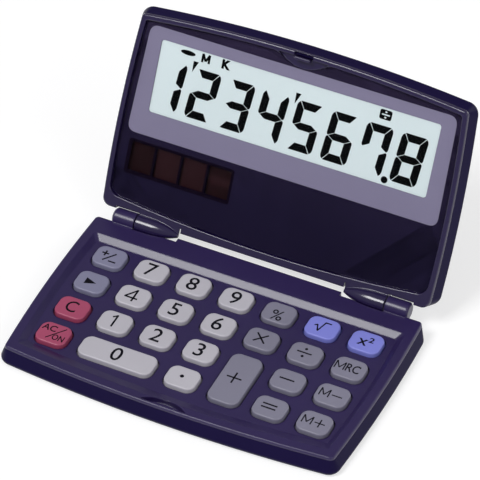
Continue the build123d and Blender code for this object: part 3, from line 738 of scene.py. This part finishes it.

# Solar panel: four amorphous silicon cells behind glass, dark brown. A dark rim on the plate's
# back goes round them, painted shade of the window's depth, and a printed bar lies over each gap between two
# cells.
rim_outside = rectangle(-0.0415, -0.0120, 0.0115, 0.0208)
rim_inside = rectangle(-0.0405, -0.0127, 0.0126, 0.0201)
rim_outlines = [rounded(rim_outside, 0.0009), rounded(rim_inside, 0.0003)]
cell_count = 4
cell_gap = 0.00045
bar_half = 0.0003
bar_low = 0.01265
bar_high = 0.02005
cells_low, cells_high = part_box("solar_cells")
cell_pitch = (cells_high.x - cells_low.x + cell_gap) / cell_count
for gap_number in range(1, cell_count):
    bar_middle = cells_low.x + cell_pitch * gap_number - cell_gap / 2
    rim_outlines.append(rectangle(bar_middle - bar_half, bar_middle + bar_half, bar_low, bar_high))
cell_rim = flat_print(rim_outlines, plate_print_depth)
on_lid(cell_rim, plate_back)
# The rim is painted shade at the depth of the window; the bars are the dark dividers between cells.
rim_shade_and_divider_dark = paint(17, 10, 24)
rim_shade_and_divider_print = moulded(
    "solar_shade_rim_and_dividers", rim_shade_and_divider_dark, drift=0.03, gloss=0.5, gloss_drift=0.04,
    grain=0.0003, depth=0.000001, shine=0,
)
settle(cell_rim, "solar_shade_rim_and_dividers", "display leaf", rim_shade_and_divider_print)
cell_brown = paint(46, 20, 24)
silicon = moulded(
    "silicon_cell", cell_brown, drift=0.08, gloss=0.4, gloss_drift=0.04,
    grain=0.004, depth=0.0000002, shine=0.1,
)
dress("solar_cells", silicon)
cover_tint = (0.92, 0.92, 0.94, 1)
dress("solar_glass", clear_sheet("solar_glass", cover_tint, rough=0.03))

# Studio floor: a wide sheet of pale paper. It shows white to the camera, in gloss and
# through glass, with half of its own shading left so that the shadow stays, and it lights
# the object only as plain paper does.
floor_width = 3
floor_drop = 0.00002
bpy.ops.mesh.primitive_plane_add(size=floor_width, location=(0, 0, -floor_drop))
floor = bpy.context.object
floor.name = "studio_floor"
paper_white = paint(250, 250, 251)
paper = moulded(
    "floor_paper", paper_white, drift=0.004, gloss=0.8, gloss_drift=0.02,
    grain=0.002, depth=0.000002,
)
paper_nodes = paper.node_tree.nodes
glow = paper_nodes.new("ShaderNodeEmission")
glow.inputs["Strength"].default_value = 0.6
dimmed = paper_nodes.new("ShaderNodeMixShader")
dimmed.inputs["Fac"].default_value = 0.5
lifted = paper_nodes.new("ShaderNodeAddShader")
rays = paper_nodes.new("ShaderNodeLightPath")
seen_or_shiny = paper_nodes.new("ShaderNodeMath")
seen_or_shiny.operation = "MAXIMUM"
seen_at_all = paper_nodes.new("ShaderNodeMath")
seen_at_all.operation = "MAXIMUM"
chosen = paper_nodes.new("ShaderNodeMixShader")
no_light = paper_nodes.new("ShaderNodeEmission")
no_light.inputs["Strength"].default_value = 0
paper_links = paper.node_tree.links
paper_links.new(paper_nodes["Principled BSDF"].outputs[0], dimmed.inputs[1])
paper_links.new(no_light.outputs[0], dimmed.inputs[2])
paper_links.new(dimmed.outputs[0], lifted.inputs[0])
paper_links.new(glow.outputs[0], lifted.inputs[1])
paper_links.new(rays.outputs["Is Camera Ray"], seen_or_shiny.inputs[0])
paper_links.new(rays.outputs["Is Glossy Ray"], seen_or_shiny.inputs[1])
paper_links.new(seen_or_shiny.outputs[0], seen_at_all.inputs[0])
paper_links.new(rays.outputs["Is Transmission Ray"], seen_at_all.inputs[1])
paper_links.new(seen_at_all.outputs[0], chosen.inputs["Fac"])
paper_links.new(paper_nodes["Principled BSDF"].outputs[0], chosen.inputs[1])
paper_links.new(lifted.outputs[0], chosen.inputs[2])
paper_links.new(chosen.outputs[0], paper_nodes["Material Output"].inputs["Surface"])
floor.data.materials.append(paper)

# Studio light: an even surround and three soft lamps, high in front, to the right and low
# behind. They are plain white, at a level at which colours show about as written.
surround = bpy.data.worlds.new("surround")
bpy.context.scene.world = surround
surround.use_nodes = True
surround.node_tree.nodes["Background"].inputs["Color"].default_value = (1, 1, 1, 1)
surround.node_tree.nodes["Background"].inputs["Strength"].default_value = 0.32


def soft_lamp(name, place, target, size, power):
    """A square soft lamp at a place, turned to a target."""
    lamp_data = bpy.data.lights.new(name, "AREA")
    lamp_data.size = size
    lamp_data.energy = power
    lamp = bpy.data.objects.new(name, lamp_data)
    bpy.context.scene.collection.objects.link(lamp)
    lamp.location = place
    lamp.rotation_euler = (Vector(target) - Vector(place)).to_track_quat("-Z", "Y").to_euler()


soft_lamp("lamp_over", place=(-0.30, -0.47, 0.82), target=(0, 0, 0.01), size=0.36, power=5.7)
soft_lamp("lamp_right", place=(0.75, -0.25, 0.55), target=(0, 0, 0.02), size=0.6, power=2.0)
soft_lamp("lamp_back", place=(0.5, 0.8, 0.28), target=(0, 0.04, 0.03), size=0.5, power=2.0)

# Camera: where the photograph's was, above, in front and to the right, with a long lens.
# Its place and lens come from a fit to the corners of both leaves.
eye = bpy.data.cameras.new("photo_camera")
eye.sensor_width = 36
eye.lens = 249.298
eye.clip_start = 0.05
camera = bpy.data.objects.new("photo_camera", eye)
bpy.context.scene.collection.objects.link(camera)
camera.location = (0.258617, -0.515112, 0.579489)
camera.rotation_euler = (math.radians(46.7651), math.radians(0.276), math.radians(25.6613))
bpy.context.scene.camera = camera
bpy.context.scene.view_settings.view_transform = "Standard"
